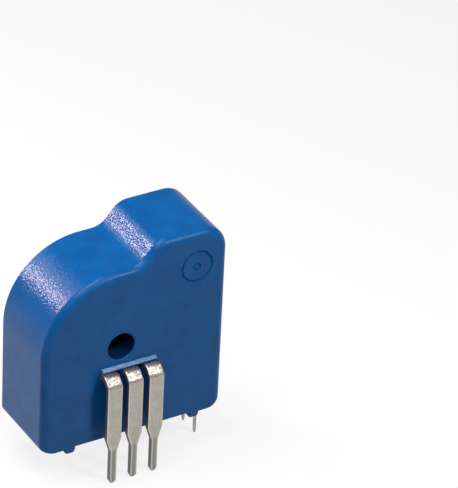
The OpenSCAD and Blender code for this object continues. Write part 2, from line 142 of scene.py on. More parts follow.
class Paint:
    def __init__(self, owner, shader="BsdfPrincipled"):
        owner.use_nodes = True
        self.owner = owner
        self.tree = owner.node_tree
        self.tree.nodes.clear()
        self.output = self.tree.nodes.new(
            "ShaderNodeOutputWorld" if isinstance(owner, bpy.types.World) else "ShaderNodeOutputMaterial")
        if shader:
            self.shader = self.tree.nodes.new("ShaderNode" + shader)
            self.tree.links.new(self.shader.outputs[0], self.output.inputs[0])

    def node(self, kind, settings=None, values=None, out=0):
        item = self.tree.nodes.new("ShaderNode" + kind)
        for key, value in (settings or {}).items():
            if key == "stops":
                ramp = item.color_ramp
                while len(ramp.elements) < len(value):
                    ramp.elements.new(0.5)
                for element, (place, colour) in zip(ramp.elements, value):
                    element.position = place
                    element.color = (*colour, 1)
            elif key == "rampKind":
                item.color_ramp.interpolation = value
            else:
                setattr(item, key, value)
        for key, value in (values or {}).items():
            self.feed(item.inputs[key], value)
        return Signal(self, item.outputs[out])

    def feed(self, socket, value):
        if isinstance(value, Signal):
            self.tree.links.new(value.socket, socket)
        else:
            socket.default_value = value

    def set(self, **values):
        # principled sockets by name, with spaces left out
        for key, value in values.items():
            found = next(s for s in self.shader.inputs if s.name.replace(" ", "") == key)
            self.feed(found, value)

    def place(self, scale=(1, 1, 1)):
        coords = self.node("TexCoord", out="Object")
        return self.node("Mapping", {}, {"Vector": coords, "Scale": scale})

    def grain(self, size, detail=2.0, rough=0.5, where=None):
        # noise whose features are size millimetres across
        return self.node("TexNoise", {}, {"Vector": where or self.place(), "Scale": 1 / (size * mm),
                                          "Detail": detail, "Roughness": rough})

    def blend(self, share, first, second):
        colours = [(*c, 1) if isinstance(c, tuple) and len(c) == 3 else c for c in (first, second)]
        return self.node("Mix", {"data_type": "RGBA"}, {0: share, 6: colours[0], 7: colours[1]}, out=2)

    def span(self, value, low, high):
        # 0 up to low, 1 from high on, and a smooth step between them
        return self.node("MapRange", {"interpolation_type": "SMOOTHSTEP"},
                         {0: value, 1: low, 2: high, 3: 0.0, 4: 1.0})

    def bands(self, along, width, distortion=0.0, detail=2.0):
        # soft stripes across one axis, width millimetres from one to the next
        return self.node("TexWave", {"wave_type": "BANDS", "bands_direction": along, "wave_profile": "SIN"},
                         {"Vector": self.place(), "Scale": 1 / (width * mm) / 6.2832,
                          "Distortion": distortion, "Detail": detail})

    def bump(self, height, depth):
        # height 0 to 1 is depth millimetres
        return self.node("Bump", {}, {"Height": height, "Distance": depth * mm, "Strength": 1.0})

    def axis(self, kind, which):
        # one coordinate of the piece, in metres, or of its normal
        coords = self.node("TexCoord", out=kind)
        return self.node("SeparateXYZ", {}, {0: coords}, out=which)


def newPaint(name):
    return Paint(bpy.data.materials.new(name))


# the through hole, which the housing cuts; inside its bore the plastic is painted nearly black, as painted shade
holeUse = {"x": -0.9, "z": 12.15, "radius": 1.6, "tubeWall": 0.75, "rim": 0.22}

# materials that show
mouldedPlastic = {"deep": (0.0040, 0.122, 0.405), "bright": (0.0048, 0.148, 0.470),
                  "worn": (0.10, 0.24, 0.55), "inHole": (0.004, 0.010, 0.060), "holeShare": 0.78,
                  "grain": 0.23, "grainDepth": 0.027, "roughness": 0.20, "specular": 0.24, "frontFace": -4.75}


def makeMouldedPlastic():
    use = mouldedPlastic
    p = newPaint("mouldedPlastic")
    broad = p.grain(2.6, 3)
    fine = p.grain(use["grain"], 1.5, 0.6)
    pits = p.grain(use["grain"] * 2.3, 1, 0.5)
    cells = p.node("TexVoronoi", {"feature": "SMOOTH_F1"},
                   {"Vector": p.place(), "Scale": 1 / (use["grain"] * mm), "Smoothness": 0.25}, out="Distance")
    scuffs = p.span(p.grain(0.9, 4, 0.7), 0.60, 0.78)
    facing = p.axis("Normal", "Y") * -1
    behindFace = p.span(p.axis("Object", "Y"), (use["frontFace"] - 0.01) * mm, (use["frontFace"] + 0.01) * mm)
    away = p.node("VectorMath", {"operation": "DISTANCE"},
                  {0: p.place((1, 0, 1)), 1: (holeUse["x"] * mm, 0, holeUse["z"] * mm)}, out=1)
    # the front face is smoother than the sides, and the fillet round it is satin
    calm = p.span(facing, 0.12, 0.5)
    fillet = calm * (1 - p.span(facing, 0.86, 0.97)) * behindFace * p.span(away, 1.9 * mm, 2.1 * mm)
    # painted shade: the bore of the hole gets a nearly black colour
    inHole = 1 - p.span(away, 1.60 * mm, 1.64 * mm)
    colour = p.blend(p.span(broad, 0.3, 0.7), use["deep"], use["bright"])
    colour = p.blend(p.span(fine, 0.62, 0.8) * 0.18, colour, use["worn"])
    colour = p.blend(inHole * use["holeShare"], colour, use["inHole"])
    height = ((1 - cells) * 0.8 + fine * 0.4) * (1 - calm * 0.72)
    rough = use["roughness"] + fillet * 0.16 + scuffs * 0.08 + (pits - 0.5) * 0.16
    p.set(BaseColor=colour, Roughness=rough, SpecularIORLevel=use["specular"],
          Normal=p.bump(height, use["grainDepth"]))
    return p.owner


# edge is a painted highlight colour for the rounded edges; the cut side colour is partly sheared copper and partly
# painted shade
tinnedCopper = {"pale": (0.59, 0.57, 0.50), "dull": (0.485, 0.465, 0.41), "bright": (0.72, 0.66, 0.58),
                "bare": (0.40, 0.32, 0.31), "edge": (0.90, 0.85, 0.78), "cut": (0.25, 0.20, 0.215),
                "pin": (0.24, 0.24, 0.225), "roughness": 0.36}


def makeTinnedCopper():
    use = tinnedCopper
    p = newPaint("tinnedCopper")
    drawn = p.grain(0.5, 3, 0.6, p.place((3.2, 3.2, 0.35)))
    cloud = p.grain(0.8, 4, 0.65)
    fine = p.grain(0.16, 2, 0.6)
    speck = p.span(p.grain(0.19, 2, 0.7), 0.44, 0.58)
    height = p.axis("Object", "Z")
    sideways = p.node("Math", {"operation": "ABSOLUTE"}, {0: p.axis("Normal", "X")})
    # bends are polished by the tool; the rounded edges are painted near-white, a painted highlight, and the sides
    # are painted dark, partly for sheared copper and partly as painted shade
    edge = p.span(sideways, 0.06, 0.25) * (1 - p.span(sideways, 0.60, 0.80))
    flat = 1 - edge
    bend = p.span(height, 8.15 * mm, 8.6 * mm)
    cut = p.span(sideways, 0.6, 0.82)
    pinPart = 1 - p.span(height, 0.0, 0.7 * mm)
    colour = p.blend(p.span(cloud * 0.65 + drawn * 0.35, 0.38, 0.66), use["dull"], use["pale"])
    colour = p.blend(bend, colour, p.blend(speck, use["bare"], use["bright"]))
    colour = p.blend(pinPart * 0.75, colour, use["pin"])
    # painted highlight: the rounded edges get a near-white colour
    colour = p.blend(edge * 0.7, colour, use["edge"])
    # the sides get a dark colour, partly sheared copper and partly painted shade, less of it on the legs below the
    # housing
    colour = p.blend(cut * flat * (1 - pinPart * 0.55), colour, use["cut"])
    rough = use["roughness"] + (cloud - 0.5) * 0.2 + cut * 0.2 + bend * (0.16 - speck * 0.12) * flat
    relief = drawn * 0.3 + fine * (0.3 + bend * flat * 1.6) + cloud * 0.5
    p.set(BaseColor=colour, Metallic=1.0, Roughness=rough, Normal=p.bump(relief, 0.006))
    return p.owner


signalPin = {"pale": (0.62, 0.61, 0.58), "dull": (0.36, 0.36, 0.35)}


def makeSignalPin():
    use = signalPin
    p = newPaint("signalPin")
    drawn = p.grain(0.3, 3, 0.6, p.place((3, 3, 0.3)))
    p.set(BaseColor=p.blend(p.span(drawn, 0.35, 0.65), use["dull"], use["pale"]), Metallic=1.0,
          Roughness=0.26 + drawn * 0.2, Normal=p.bump(drawn, 0.004))
    return p.owner


pottingResin = {"dark": (0.036, 0.029, 0.031), "pale": (0.047, 0.038, 0.040), "roughness": 0.34}


def makePottingResin():
    use = pottingResin
    p = newPaint("pottingResin")
    swirl = p.grain(3.2, 3, 0.55)
    filler = p.grain(0.14, 2)
    bubbles = p.span(p.grain(0.55, 1), 0.70, 0.80)
    colour = p.blend(p.span(swirl, 0.3, 0.7), use["dark"], use["pale"])
    colour = p.blend(p.span(filler, 0.62, 0.75) * 0.25, colour, (0.12, 0.10, 0.10))
    p.set(BaseColor=colour, Roughness=use["roughness"] + swirl * 0.10 + filler * 0.08, SpecularIORLevel=0.4,
          Normal=p.bump(swirl * 0.6 + filler * 0.12 - bubbles * 0.3, 0.03))
    return p.owner


# materials of what the resin holds
def makeCoreSheet():
    p = newPaint("coreSheet")
    stack = p.bands("Y", 0.35, 0.4, 1.0)
    drawn = p.grain(0.4, 2)
    colour = p.blend(stack, (0.16, 0.165, 0.175), (0.33, 0.335, 0.345))
    p.set(BaseColor=colour, Metallic=1.0, Roughness=0.34 + drawn * 0.16, Normal=p.bump(stack + drawn * 0.3, 0.02))
    return p.owner


def makeBobbinPlastic():
    p = newPaint("bobbinPlastic")
    mottle = p.grain(0.5, 3)
    p.set(BaseColor=p.blend(mottle, (0.018, 0.018, 0.02), (0.035, 0.035, 0.038)),
          Roughness=0.42 + mottle * 0.15, Normal=p.bump(p.grain(0.15), 0.006))
    return p.owner


def makeEnamelledWire():
    p = newPaint("enamelledWire")
    turns = p.bands("X", 0.14, 0.6, 1.0)
    tone = p.grain(1.1, 2)
    colour = p.blend(p.span(tone, 0.3, 0.7), (0.40, 0.13, 0.04), (0.55, 0.21, 0.07))
    # painted shade: the grooves between the turns get a dark colour
    colour = p.blend(1 - p.span(turns, 0.05, 0.5), colour, (0.10, 0.028, 0.01))
    p.set(BaseColor=colour, Metallic=0.8, Roughness=0.25 + tone * 0.12, CoatWeight=0.5,
          Normal=p.bump(turns, 0.05))
    return p.owner


def makeChipBody():
    p = newPaint("chipBody")
    fine = p.grain(0.09, 2)
    tone = p.grain(1.0, 2)
    p.set(BaseColor=p.blend(tone, (0.014, 0.014, 0.016), (0.026, 0.026, 0.028)),
          Roughness=0.5 + fine * 0.15, Normal=p.bump(fine, 0.006))
    return p.owner


def makeBoardLaminate():
    p = newPaint("boardLaminate")
    weave = p.bands("Y", 0.45) * p.bands("Z", 0.45)
    mottle = p.grain(1.4, 3)
    colour = p.blend(weave * 0.5 + mottle * 0.4, (0.012, 0.085, 0.035), (0.03, 0.17, 0.075))
    p.set(BaseColor=colour, Roughness=0.3 + mottle * 0.15, CoatWeight=0.3, Normal=p.bump(weave, 0.012))
    return p.owner


def makeResistorCoat():
    p = newPaint("resistorCoat")
    coat, red, black, gold = (0.22, 0.09, 0.055), (0.30, 0.02, 0.01), (0.02, 0.02, 0.02), (0.45, 0.26, 0.04)
    along = p.node("MapRange", {}, {0: p.axis("Object", "Z"), 1: 3.2 * mm, 2: 6.8 * mm})
    rings = p.node("ValToRGB", {"stops": [(0.0, coat), (0.22, red), (0.30, coat), (0.45, black), (0.53, coat),
                                          (0.75, gold), (0.83, coat)], "rampKind": "CONSTANT"}, {0: along})
    p.set(BaseColor=rings, Roughness=0.3 + p.grain(0.4) * 0.1, CoatWeight=0.3, Normal=p.bump(p.grain(0.3), 0.01))
    return p.owner


def makeCapacitorCeramic():
    p = newPaint("capacitorCeramic")
    high = p.axis("Object", "Z")
    ends = p.node("Math", {"operation": "COMPARE"}, {0: high, 1: 8.4 * mm, 2: 0.62 * mm})
    speck = p.grain(0.2, 2)
    body = p.blend(speck, (0.50, 0.36, 0.20), (0.62, 0.47, 0.28))
    p.set(BaseColor=p.blend(ends, (0.62, 0.62, 0.60), body), Metallic=1 - ends, Roughness=0.35 + speck * 0.15,
          Normal=p.bump(speck, 0.006))
    return p.owner


def makeSolder():
    p = newPaint("solderTin")
    flow = p.grain(0.45, 2)
    p.set(BaseColor=p.blend(flow, (0.50, 0.50, 0.49), (0.70, 0.70, 0.68)), Metallic=1.0,
          Roughness=0.18 + flow * 0.2, Normal=p.bump(flow, 0.03))
    return p.owner


looks = {"housing": makeMouldedPlastic(), "bar": makeTinnedCopper(), "pin": makeSignalPin(),
         "resin": makePottingResin(), "core": makeCoreSheet(), "bobbin": makeBobbinPlastic(),
         "wire": makeEnamelledWire(), "chip": makeChipBody(), "board": makeBoardLaminate(),
         "resistor": makeResistorCoat(), "capacitor": makeCapacitorCeramic(), "solder": makeSolder()}
nodeLooks = {"housing": "housing", "potting_resin": "resin", "primary_bar_left": "bar",
             "primary_bar_middle": "bar", "primary_bar_right": "bar", "output_pin": "pin",
             "ground_pin": "pin", "supply_pin": "pin", "core_lower": "core", "core_upper": "core",
             "coil_bobbin": "bobbin", "coil_winding": "wire", "bobbin_posts": "solder", "post_wraps": "wire",
             "hall_chip": "chip", "hall_chip_leads": "solder", "circuit_board": "board",
             "amplifier_chip": "chip", "amplifier_leads": "solder", "measuring_resistor": "resistor",
             "ceramic_capacitors": "capacitor", "chip_resistors": "chip", "solder_joints": "solder"}
for nodeName, lookName in nodeLooks.items():
    data = nodes[nodeName].data
    data.materials.clear()
    data.materials.append(looks[lookName])
print("materials made:", len(looks))


# housing: one outline of tangent arcs, with a fillet round the front face
housing = {"left": -10.33, "right": 11.87, "front": -4.75, "back": 4.75, "floor": 0.6, "recess": 0.2,
           "lowTop": 21.6, "tallTop": 24.2, "rampFoot": 1.39, "rampAngle": 52.0,
           "footR": 1.05, "cornerR": 3.0, "rampR": 2.5, "shoulderR": 9.0, "fillet": 0.9,
           "wall": 0.6, "frontWall": 0.8, "rimR": 0.12, "underR": 0.12, "filletSteps": 14}


def cornerArc(before, corner, after, radius, inset, steps):
    a, b, c = Vector(before), Vector(corner), Vector(after)
    u, w = (b - a).normalized(), (c - b).normalized()
    side = 1 if u.x * w.y - u.y * w.x > 0 else -1
    sweep = math.acos(max(-1, min(1, u.dot(w))))
    leftOf = Vector((-u.y, u.x))
    centre = b - u * radius * math.tan(sweep / 2) + side * radius * leftOf
    start = math.atan2(-side * leftOf.y, -side * leftOf.x)
    reach = radius - side * inset
    return [(centre.x + reach * math.cos(start + side * sweep * k / steps),
             centre.y + reach * math.sin(start + side * sweep * k / steps)) for k in range(steps + 1)]


def roundedOutline(corners, radii, steps, inset=0.0):
    count = len(corners)
    found = []
    for i in range(count):
        found += cornerArc(corners[i - 1], corners[i], corners[(i + 1) % count], radii[i], inset, steps[i])
    return found


def housingOutline(inset, lift):
    # moved inwards by inset, and its bottom line up by lift
    h = housing
    head = h["rampFoot"] + (h["tallTop"] - h["lowTop"]) / math.tan(math.radians(h["rampAngle"]))
    low, left, right = h["floor"] + lift, h["left"] + inset, h["right"] - inset
    foot = h["footR"] - lift
    found = cornerArc((left, h["lowTop"]), (left, low), (right, low), foot, 0, 10)
    found += cornerArc((left, low), (right, low), (right, h["tallTop"]), foot, 0, 10)
    corners = [(h["left"], h["floor"]), (h["right"], h["floor"]), (h["right"], h["tallTop"]),
               (head, h["tallTop"]), (h["rampFoot"], h["lowTop"]), (h["left"], h["lowTop"])]
    rounding = [(2, h["cornerR"], 20), (3, h["rampR"], 12), (4, h["rampR"], 12), (5, h["shoulderR"], 44)]
    for i, radius, steps in rounding:
        found += cornerArc(corners[i - 1], corners[i], corners[(i + 1) % 6], radius, inset, steps)
    return found


def skin(name, rings):
    # rings are (y, outline) from front to back; both ends are closed
    count = len(rings[0][1])
    points = [(x, y, z) for y, outline in rings for x, z in outline]
    faces = [(j * count + i, j * count + (i + 1) % count, (j + 1) * count + (i + 1) % count, (j + 1) * count + i)
             for j in range(len(rings) - 1) for i in range(count)]
    faces.append(tuple(range(count)))
    faces.append(tuple((len(rings) - 1) * count + i for i in reversed(range(count))))
    return outwards(newObject(name, meshFrom(name, points, faces, 1)))


def quarter(steps):
    return [math.pi / 2 * k / steps for k in range(steps + 1)]


def flare(rim):
    # (depth, spread) of a cutter that rounds the edge of the hole it makes, from outside the face inwards
    arc = [(rim * (1 - math.cos(a)), rim * (1 - math.sin(a))) for a in quarter(3)]
    (y0, r0), (y1, r1) = arc[0], arc[1]
    reach = 0.04 / (y1 - y0)
    first = (y0 + (y0 - y1) * reach, r0 + (r0 - r1) * reach)
    return [(-1.0, first[1]), first] + arc[1:]


def lathe(name, profile, centreX, centreZ, sides=96):
    # profile is (y, radius) from front to back, about an axis along y
    rings = [(y, [(centreX + r * math.cos(2 * math.pi * i / sides), centreZ + r * math.sin(2 * math.pi * i / sides))
                  for i in range(sides)]) for y, r in profile]
    return skin(name, rings)


def rounder(low, high, radius, steps=6):
    # an upright rectangle with rounded corners
    (x0, z0), (x1, z1) = low, high
    return roundedOutline([(x0, z0), (x1, z0), (x1, z1), (x0, z1)], [radius] * 4, [steps] * 4)


ductUse = {"halfWidth": 3.505, "low": 8.75, "high": 9.55, "wall": 0.65, "roof": 1.0, "corner": 0.12,
           "outerCorner": 0.25, "mouth": 0.58}
lipUse = {"halfWidth": 3.38, "height": 0.5, "out": 0.45, "bevel": 0.37, "soft": 0.07}
railUse = {"middles": (-6.88, 8.47), "width": 1.36, "round": 0.5, "height": 1.14, "frontR": 0.16, "gap": 0.02}
slotUse = {"low": 9.76, "high": 10.56, "front": -3.25, "top": 1.26, "corner": 0.1}
markUse = {"x": 8.05, "z": 19.85, "rings": ((1.98, 0.32, 0.20), (0.50, 0.26, 0.16))}
tubeRoot = 0.4  # how far behind the front face the tube and the duct start, inside its wall
tubeRim = 0.1  # rounding of their back edges


def rearRims(radius, steps):
    # (distance from the back, inset) of a rounded back edge
    return [(radius * (1 - math.sin(a)), radius * (1 - math.cos(a))) for a in quarter(steps)]


def makeShell():
    h = housing
    rings = []
    for a in reversed(quarter(h["filletSteps"])):
        deep = h["fillet"] * (1 - math.sin(a))
        under = h["underR"] - math.sqrt(h["underR"] ** 2 - max(0, h["underR"] - deep) ** 2)
        rings.append((h["front"] + deep, housingOutline(h["fillet"] * (1 - math.cos(a)), under)))
    rings += [(h["back"] - deep, housingOutline(inset, inset)) for deep, inset in rearRims(h["rimR"], 4)]
    return skin("housingShell", rings)


def makeCavity():
    h = housing
    rings = [(h["front"] + h["frontWall"], housingOutline(h["wall"], h["wall"]))]
    for deep, inset in rearRims(h["rimR"], 4):
        rings.append((h["back"] - deep, housingOutline(h["wall"] - inset, h["wall"] - inset)))
    mouth = h["wall"] - h["rimR"]
    rings.append((h["back"] + 1, housingOutline(mouth, mouth)))
    return skin("cavityCut", rings)


def makeHollow():
    # the floor stands back between the rails
    (left, right), top = railUse["middles"], housing["floor"] + housing["recess"]
    section = [(left, -1.0), (right, -1.0), (right, top), (left, top)]
    return skin("recessCut", [(housing["front"] - 1, section), (housing["back"] + 1, section)])


def makeTube():
    h, u = housing, holeUse
    outer = u["radius"] + u["tubeWall"]
    profile = [(h["front"] + tubeRoot, outer)]
    profile += [(h["back"] - deep, outer - inset) for deep, inset in rearRims(tubeRim, 3)]
    return lathe("tubeJoin", profile, u["x"], u["z"])


def makeDuct():
    h, d = housing, ductUse
    across, low, high = d["halfWidth"] + d["wall"], d["low"] - d["wall"], d["high"] + d["roof"]
    rims = [(h["front"] + tubeRoot, 0)] + [(h["back"] - deep, inset) for deep, inset in rearRims(tubeRim, 3)]
    return skin("ductJoin", [(y, rounder((inset - across, low + inset), (across - inset, high - inset),
                                         d["outerCorner"] - inset)) for y, inset in rims])


def makeLip():
    # the ledge over the bars, with a broad chamfer on top
    u, h = lipUse, housing
    root, face = h["front"] + 0.2, h["front"] - u["out"]
    low, high, across = ductUse["high"], ductUse["high"] + u["height"], u["halfWidth"]
    profile = [(root, low), (face, low), (face, high - u["bevel"]), (face + u["bevel"], high), (root, high)]
    points = [(x, y, z) for x in (-across, across) for y, z in profile]
    faces = [(0, 1, 2, 3, 4), (9, 8, 7, 6, 5)] + [(i, (i + 1) % 5, 5 + (i + 1) % 5, 5 + i) for i in range(5)]
    lip = outwards(newObject("lipJoin", meshFrom("lipJoin", points, faces, 1)))
    soft = lip.modifiers.new("soft", "BEVEL")
    soft.width, soft.segments = u["soft"], 3
    return bake(lip)


def makeRail(middle):
    u, h = railUse, housing
    half = u["width"] / 2
    section = roundedOutline([(middle - half, u["height"]), (middle - half, 0), (middle + half, 0),
                              (middle + half, u["height"])], [0.02, u["round"], u["round"], 0.02], [1, 8, 8, 1])
    rings = []
    for a in quarter(6):
        inset = u["frontR"] * (1 - math.sin(a))
        rings.append((h["front"] + u["gap"] + u["frontR"] * (1 - math.cos(a)),
                      [(middle + (x - middle) * (1 - inset / half), max(z, inset)) for x, z in section]))
    rings.append((h["back"] - u["gap"], section))
    return skin("railJoin", rings)


def makeBore():
    h, u = housing, holeUse
    profile = [(h["front"] + y, u["radius"] + r) for y, r in flare(u["rim"])]
    profile += [(h["back"] - y, u["radius"] + r) for y, r in reversed(flare(tubeRim))]
    return lathe("boreCut", profile, u["x"], u["z"])


def makePassage():
    h, d = housing, ductUse
    spread = [(h["front"] - 1, 0), (h["back"] - 0.08, 0), (h["back"] + 0.5, d["mouth"])]
    return skin("passageCut", [(y, rounder((-d["halfWidth"] - e, d["low"] - e), (d["halfWidth"] + e, d["high"] + e),
                                           d["corner"] + e)) for y, e in spread])


def makeSlot():
    # the pin slot, open at the floor and at the back
    s, corner, end = slotUse, slotUse["corner"], housing["back"] + 1
    ring = [(s["low"], s["front"] + corner), (s["low"] + corner, s["front"]), (s["high"] - corner, s["front"]),
            (s["high"], s["front"] + corner), (s["high"], end), (s["low"], end)]
    count = len(ring)
    points = [(x, y, z) for z in (-1, s["top"]) for x, y in ring]
    faces = [(i, (i + 1) % count, count + (i + 1) % count, count + i) for i in range(count)]
    faces += [tuple(range(count)), tuple(range(2 * count - 1, count - 1, -1))]
    return outwards(newObject("slotCut", meshFrom("slotCut", points, faces, 1)))


def closeHousing(mesh):
    # merges what the cutting left a hair apart, and says whether the moulding is closed
    work = bmesh.new()
    work.from_mesh(mesh)
    bmesh.ops.remove_doubles(work, verts=work.verts, dist=0.002)
    bmesh.ops.dissolve_degenerate(work, edges=work.edges, dist=0.001)
    bmesh.ops.holes_fill(work, edges=[e for e in work.edges if len(e.link_faces) == 1], sides=12)
    print("housing open edges:", sum(1 for e in work.edges if len(e.link_faces) != 2))
    work.to_mesh(mesh)
    work.free()


def makeHousing():
    # built in millimetres, where the cutting is exact, and made small at the end
    shell = makeShell()
    cavity, joined = makeCavity(), [makeTube(), makeDuct(), makeLip()]
    hollow = makeHollow()
    joined += [makeRail(middle) for middle in railUse["middles"]]
    cuts = [makeBore(), makePassage(), makeSlot(), makeMarkCut()]
    steps = [(cavity, "DIFFERENCE"), (hollow, "DIFFERENCE")]
    steps += [(item, "UNION") for item in joined] + [(item, "DIFFERENCE") for item in cuts]
    for item, operation in steps:
        change = shell.modifiers.new(item.name, "BOOLEAN")
        change.object, change.operation, change.solver = item, operation, "EXACT"
    bake(shell)
    for item, operation in steps:
        bpy.data.objects.remove(item)
    closeHousing(shell.data)
    shell.data.transform(Matrix.Scale(mm, 4))
    return evenNormals(smoothShade(shell, 32))


def makeMarkCut():
    # the gate mark: a round groove with a small one in its middle, each a ring of (radius, width, depth)
    m = markUse
    sides, section = 96, 8
    points, faces = [], []
    for radius, width, depth in m["rings"]:
        start = len(points)
        for i in range(sides):
            a = 2 * math.pi * i / sides
            for k in range(section):
                t = 2 * math.pi * k / section
                r = radius - width / 2 + width / 2 * math.cos(t)
                points.append((m["x"] + r * math.cos(a), housing["front"] + depth * math.sin(t),
                               m["z"] + r * math.sin(a)))
        for i in range(sides):
            for k in range(section):
                j, n = (i + 1) % sides, (k + 1) % section
                around = (i * section + k, i * section + n, j * section + n, j * section + k)
                faces.append(tuple(start + c for c in around))
    return outwards(newObject("markCut", meshFrom("markCut", points, faces, 1)))


finishPiece(makeHousing(), looks["housing"], "housing_plastic", "housing")


# bent and straight terminals, one Geometry Nodes tree for both
class Web:
    # a tree and its named inputs: one call for every node
    def __init__(self, name):
        self.tree = bpy.data.node_groups.new(name, "GeometryNodeTree")
        self.tree.is_modifier = True
        self.face = self.tree.interface
        self.face.new_socket("Geometry", in_out="INPUT", socket_type="NodeSocketGeometry")
        self.face.new_socket("Geometry", in_out="OUTPUT", socket_type="NodeSocketGeometry")
        self.identity = {}
        self.start = self.tree.nodes.new("NodeGroupInput")
        self.end = self.tree.nodes.new("NodeGroupOutput")

    def ask(self, name, kind="Float"):
        made = self.face.new_socket(name, in_out="INPUT", socket_type="NodeSocket" + kind)
        self.identity[name] = made.identifier
        return self.start.outputs[name]

    def node(self, kind, settings=None, values=None, out=0):
        item = self.tree.nodes.new(kind)
        for key, value in (settings or {}).items():
            setattr(item, key, value)
        for key, value in (values or {}).items():
            if isinstance(value, bpy.types.NodeSocket):
                self.tree.links.new(value, item.inputs[key])
            else:
                item.inputs[key].default_value = value
        return item.outputs[out]

    def calc(self, kind, first, second=0.0):
        return self.node("ShaderNodeMath", {"operation": kind}, {0: first, 1: second})

    def close(self, geometry):
        self.tree.links.new(geometry, self.end.inputs[0])


def makeTerminalTree():
    w = Web("terminals")
    thick, wide, edge = w.ask("Thickness"), w.ask("Width"), w.ask("Edge radius")
    bend, step = w.ask("Bend radius"), w.ask("Sample step")
    shoulder, foot, share = w.ask("Shoulder height"), w.ask("Foot height"), w.ask("Foot share")
    low, tip, tipShare = w.ask("Lowest point"), w.ask("Tip length"), w.ask("Tip share")
    legOut, middleX = w.ask("Leg distance"), w.ask("Leg place")
    count, first, offset = w.ask("Count", "Int"), w.ask("First place", "Vector"), w.ask("Spacing", "Vector")
    look = w.ask("Material", "Material")

    path = w.node("GeometryNodeMeshToCurve", {}, {"Mesh": w.start.outputs["Geometry"]})
    path = w.node("GeometryNodeFilletCurve", {"mode": "POLY"},
                  {"Curve": path, "Radius": bend, "Count": 10})
    path = w.node("GeometryNodeResampleCurve", {"mode": "LENGTH"}, {"Curve": path, "Length": step})
    section = w.node("GeometryNodeCurvePrimitiveQuadrilateral", {"mode": "RECTANGLE"},
                     {"Width": wide, "Height": thick})
    section = w.node("GeometryNodeFilletCurve", {"mode": "POLY"},
                     {"Curve": section, "Radius": edge, "Count": 4, "Limit Radius": True})
    solid = w.node("GeometryNodeCurveToMesh", {}, {"Curve": path, "Profile Curve": section, "Fill Caps": True})

    here = w.node("GeometryNodeInputPosition")
    x = w.node("ShaderNodeSeparateXYZ", {}, {0: here}, out=0)
    y = w.node("ShaderNodeSeparateXYZ", {}, {0: here}, out=1)
    z = w.node("ShaderNodeSeparateXYZ", {}, {0: here}, out=2)
    narrow = w.node("ShaderNodeMapRange", {}, {0: z, 1: foot, 2: shoulder, 3: share, 4: 1.0})
    tipTop = w.calc("ADD", low, tip)
    point = w.node("ShaderNodeMapRange", {}, {0: z, 1: low, 2: tipTop, 3: tipShare, 4: 1.0})
    across = w.calc("MULTIPLY", narrow, point)
    side = w.calc("SIGN", y)
    middleY = w.calc("MULTIPLY", side, legOut)
    newX = w.calc("MULTIPLY", w.calc("SUBTRACT", x, middleX), across)
    newX = w.calc("ADD", newX, middleX)
    newY = w.calc("MULTIPLY", w.calc("SUBTRACT", y, middleY), point)
    newY = w.calc("ADD", newY, middleY)
    onLeg = w.calc("LESS_THAN", z, tipTop)
    pointed = w.node("ShaderNodeCombineXYZ", {}, {0: newX, 1: newY, 2: z})
    straight = w.node("ShaderNodeCombineXYZ", {}, {0: newX, 1: y, 2: z})
    placed = w.node("GeometryNodeSwitch", {"input_type": "VECTOR"},
                    {"Switch": onLeg, "False": straight, "True": pointed})
    solid = w.node("GeometryNodeSetPosition", {}, {"Geometry": solid, "Position": placed})

    places = w.node("GeometryNodeMeshLine", {"mode": "OFFSET"},
                    {"Count": count, "Start Location": first, "Offset": offset})
    repeated = w.node("GeometryNodeInstanceOnPoints", {}, {"Points": places, "Instance": solid})
    real = w.node("GeometryNodeRealizeInstances", {}, {"Geometry": repeated})
    w.close(w.node("GeometryNodeSetMaterial", {}, {"Geometry": real, "Material": look}))
    return w


terminals = makeTerminalTree()


def makeTerminals(name, path, sizes, look):
    mesh = bpy.data.meshes.new(name)
    mesh.from_pydata([tuple(c * mm for c in p) for p in path], [(i, i + 1) for i in range(len(path) - 1)], [])
    item = newObject(name, mesh)
    change = item.modifiers.new("terminals", "NODES")
    change.node_group = terminals.tree
    for key, value in {**sizes, "Material": look}.items():
        change[terminals.identity[key]] = value
    bake(item)
    return evenNormals(smoothShade(outwards(item), 38))


barUse = {"legs": 6.35, "top": 9.15, "low": -4.1, "width": 1.83, "thickness": 0.7, "pitch": 2.54,
          "bendFlat": 0.72, "bendR": 0.45, "edgeR": 0.14, "step": 0.08, "shoulder": 1.75, "foot": 0.15,
          "footWidth": 0.8, "tip": 0.4, "tipShare": 0.5}
pinUse = {"x": 10.16, "back": 0.3, "top": 4.4, "low": -4.1, "width": 0.40, "thickness": 0.30, "pitch": 2.54,
          "edgeR": 0.10, "step": 0.1, "tip": 0.4, "tipShare": 0.5}

b = barUse
bars = makeTerminals("primaryBars",
                     [(0, b["legs"], b["low"]), (0, b["legs"], b["top"] - b["bendFlat"]),
                      (0, b["legs"] - b["bendFlat"], b["top"]), (0, b["bendFlat"] - b["legs"], b["top"]),
                      (0, -b["legs"], b["top"] - b["bendFlat"]), (0, -b["legs"], b["low"])],
                     {"Thickness": b["thickness"] * mm, "Width": b["width"] * mm, "Edge radius": b["edgeR"] * mm,
                      "Bend radius": b["bendR"] * mm, "Sample step": b["step"] * mm,
                      "Shoulder height": b["shoulder"] * mm, "Foot height": b["foot"] * mm,
                      "Foot share": b["footWidth"] / b["width"], "Lowest point": b["low"] * mm,
                      "Tip length": b["tip"] * mm, "Tip share": b["tipShare"], "Leg distance": b["legs"] * mm,
                      "Leg place": 0.0, "Count": 3, "First place": (-b["pitch"] * mm, 0, 0),
                      "Spacing": (b["pitch"] * mm, 0, 0)}, looks["bar"])
finishPiece(bars, looks["bar"], "tinned_bar", "primary_bar_left", "primary_bar_middle", "primary_bar_right")

